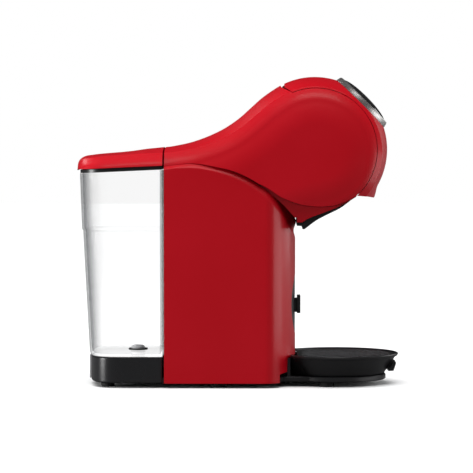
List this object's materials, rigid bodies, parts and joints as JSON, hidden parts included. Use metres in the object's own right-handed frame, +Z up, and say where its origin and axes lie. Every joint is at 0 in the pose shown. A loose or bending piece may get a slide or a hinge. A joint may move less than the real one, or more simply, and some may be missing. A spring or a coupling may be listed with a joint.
{
  "type": "pod coffee machine",
  "caption": "Slim pod coffee machine: round brew head with a lifting locking handle and a dial, clear tank behind a narrow column, round drip tray in front.",
  "frame": {"origin": "on the floor, under the middle of the overall box", "axes": "+X to the front with the drip tray, +Y to the machine's left, +Z up"},
  "size_m": [0.2879, 0.1114, 0.2759],
  "materials": {
    "red_gloss": "high gloss moulded red",
    "black_plastic": "satin black",
    "gloss_black": "piano black",
    "brushed_metal": "circular brushing",
    "steel": "plain",
    "clear_plastic": "clear",
    "grey_plastic": "satin grey",
    "grid_metal": "polished grey",
    "rubber": "matt",
    "silicone": "matt translucent",
    "board_green": "circuit board",
    "aluminium": "cast",
    "display_glass": "smoked"
  },
  "bodies": {
    "machine": {"back_panel": "black_plastic", "body_casing": "red_gloss", "brew_frame": "black_plastic", "chassis_base": "black_plastic", "chin_cover": "red_gloss", "column_inset": "black_plastic", "control_board": "board_green", "cord_gland": "rubber", "flow_meter": "grey_plastic", "foot_front_left": "rubber", "foot_front_right": "rubber", "foot_middle_left": "rubber", "foot_middle_right": "rubber", "foot_rear_left": "rubber", "foot_rear_right": "rubber", "handle_pin": "steel", "head_casing": "red_gloss", "hinge_bracket_left": "steel", "hinge_bracket_right": "steel", "holder_switch": "grey_plastic", "inlet_hose": "silicone", "outlet_frame": "black_plastic", "outlet_hose": "silicone", "pressure_hose": "silicone", "pump_body": "steel", "pump_hose": "silicone", "pump_mount_front": "rubber", "pump_mount_rear": "rubber", "rear_strip": "grey_plastic", "tank_socket": "grey_plastic", "thermoblock": "aluminium", "thermostat": "steel", "tray_hook": "black_plastic"},
    "handle": {"locking_handle": "red_gloss", "dial_base": "black_plastic", "display_ring": "display_glass", "dial_board": "board_green", "button_spring": "steel"},
    "dial": {"selector_ring": "brushed_metal"},
    "button": {"start_button": "gloss_black"},
    "holder": {"capsule_holder": "black_plastic"},
    "injector": {"injector_plate": "grey_plastic", "injector_needle": "steel", "brew_gasket": "silicone"},
    "tank": {"water_tank": "clear_plastic", "valve_body": "grey_plastic", "valve_seal": "rubber", "lid_bracket": "black_plastic", "lid_pin": "steel"},
    "lid": {"tank_lid": "red_gloss", "lid_liner": "black_plastic"},
    "valve": {"valve_plunger": "grey_plastic"},
    "tray": {"drip_tray": "black_plastic"},
    "grid": {"drip_grid": "grid_metal"}
  },
  "joints": [
    {"name": "handle_hinge", "type": "hinge", "parent": "machine", "child": "handle", "pos_m": [0.0415, 0, 0.2655], "axis": [0, -1, 0], "range_deg": [0, 45]},
    {"name": "selector_turn", "type": "hinge", "parent": "handle", "child": "dial", "pos_m": [0.10916, 0, 0.25146], "axis": [0.7071, 0, 0.7071], "continuous": true},
    {"name": "button_press", "type": "slide", "parent": "handle", "child": "button", "axis": [-0.7071, 0, -0.7071], "range_m": [0, 0.0015], "stiffness_N_per_m": 500, "springref_m": -0.002},
    {"name": "injector_lift", "type": "slide", "parent": "machine", "child": "injector", "axis": [0, 0, 1], "range_m": [0, 0.0101]},
    {"name": "holder_slide", "type": "slide", "parent": "machine", "child": "holder", "axis": [1, 0, 0], "range_m": [0, 0.0585]},
    {"name": "tank_lift", "type": "slide", "parent": "machine", "child": "tank", "axis": [0, 0, 1], "range_m": [0, 0.06]},
    {"name": "lid_hinge", "type": "hinge", "parent": "tank", "child": "lid", "pos_m": [-0.069, 0, 0.2101], "axis": [0, 1, 0], "range_deg": [0, 60]},
    {"name": "valve_lift", "type": "slide", "parent": "tank", "child": "valve", "axis": [0, 0, 1], "range_m": [0, 0.0025], "stiffness_N_per_m": 150, "springref_m": -0.002},
    {"name": "tray_slide", "type": "slide", "parent": "machine", "child": "tray", "axis": [1, 0, 0], "range_m": [0, 0.06]},
    {"name": "grid_lift", "type": "slide", "parent": "tray", "child": "grid", "axis": [0, 0, 1], "range_m": [0, 0.03]}
  ],
  "couplings": [
    {"joint": "injector_lift", "follows": "handle_hinge", "m_per_rad": 0.0127},
    {"joint": "holder_slide", "follows": "handle_hinge", "m_per_rad": 0.0738}
  ]
}
